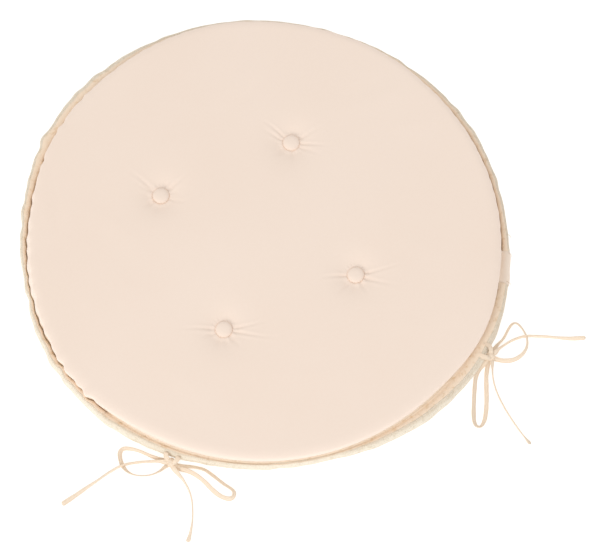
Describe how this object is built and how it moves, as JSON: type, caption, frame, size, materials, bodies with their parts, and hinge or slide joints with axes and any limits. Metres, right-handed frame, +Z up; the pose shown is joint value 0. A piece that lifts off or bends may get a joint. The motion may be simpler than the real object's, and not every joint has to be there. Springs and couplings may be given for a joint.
{
  "type": "chair seat pad",
  "caption": "Round boxed seat pad with a foam filling, a zipped cloth cover, tufting buttons and pairs of tie tapes at the back edge that knot round a chair frame.",
  "frame": {"origin": "centre of the underside, on the seat that the pad lies on", "axes": "+Z up through the pad, +Y to the back edge where the tie tapes are, +X to the sitter's right"},
  "size_m": [0.4441, 0.4386, 0.0256],
  "materials": {
    "cotton": "matt smooth woven cotton",
    "base_cloth": "undyed base cloth",
    "wadding": "polyester wadding",
    "foam": "open cell foam",
    "zip_tape": "woven polyester tape",
    "nylon": "nylon coil",
    "painted_zip": "enamelled to match",
    "steel": "bright",
    "twine": "waxed twine",
    "plastic": "moulded"
  },
  "bodies": {
    "pad": {"top_panel": "cotton", "bottom_panel": "base_cloth", "boxing_upper_back": "cotton", "boxing_upper_front": "cotton", "boxing_lower_back": "cotton", "boxing_lower_front": "cotton", "joiner_tab": "cotton", "wadding_top": "wadding", "foam_disc": "foam", "zip_tape_upper": "zip_tape", "zip_coil_upper": "nylon", "zip_top_stop_upper": "steel", "zip_bottom_stop_upper": "steel", "zip_tape_lower": "zip_tape", "zip_coil_lower": "nylon", "zip_top_stop_lower": "steel", "zip_bottom_stop_lower": "steel", "button_cover_1": "cotton", "button_shell_1": "steel", "button_back_1": "steel", "tuft_twine_1": "twine", "back_button_1": "plastic", "button_cover_2": "cotton", "button_shell_2": "steel", "button_back_2": "steel", "tuft_twine_2": "twine", "back_button_2": "plastic", "button_cover_3": "cotton", "button_shell_3": "steel", "button_back_3": "steel", "tuft_twine_3": "twine", "back_button_3": "plastic", "button_cover_4": "cotton", "button_shell_4": "steel", "button_back_4": "steel", "tuft_twine_4": "twine", "back_button_4": "plastic", "right_tie_lead_1": "cotton", "right_tie_lead_2": "cotton", "right_tie_loop_1": "cotton", "right_tie_loop_2": "cotton", "right_tie_tail_1": "cotton", "right_tie_tail_2": "cotton", "right_tie_knot": "cotton", "left_tie_lead_1": "cotton", "left_tie_lead_2": "cotton", "left_tie_loop_1": "cotton", "left_tie_loop_2": "cotton", "left_tie_tail_1": "cotton", "left_tie_tail_2": "cotton", "left_tie_knot": "cotton"},
    "slider": {"zip_slider": "painted_zip"},
    "pull": {"zip_pull": "painted_zip"}
  },
  "joints": [
    {"name": "zip_slide", "type": "hinge", "parent": "pad", "child": "slider", "pos_m": [0, 0, 0.013], "axis": [0, 0, 1], "range_deg": [-111, 0]},
    {"name": "pull_swing", "type": "hinge", "parent": "slider", "child": "pull", "pos_m": [-0.16428, 0.10488, 0.013], "axis": [0, 0, 1], "range_deg": [0, 95]}
  ]
}
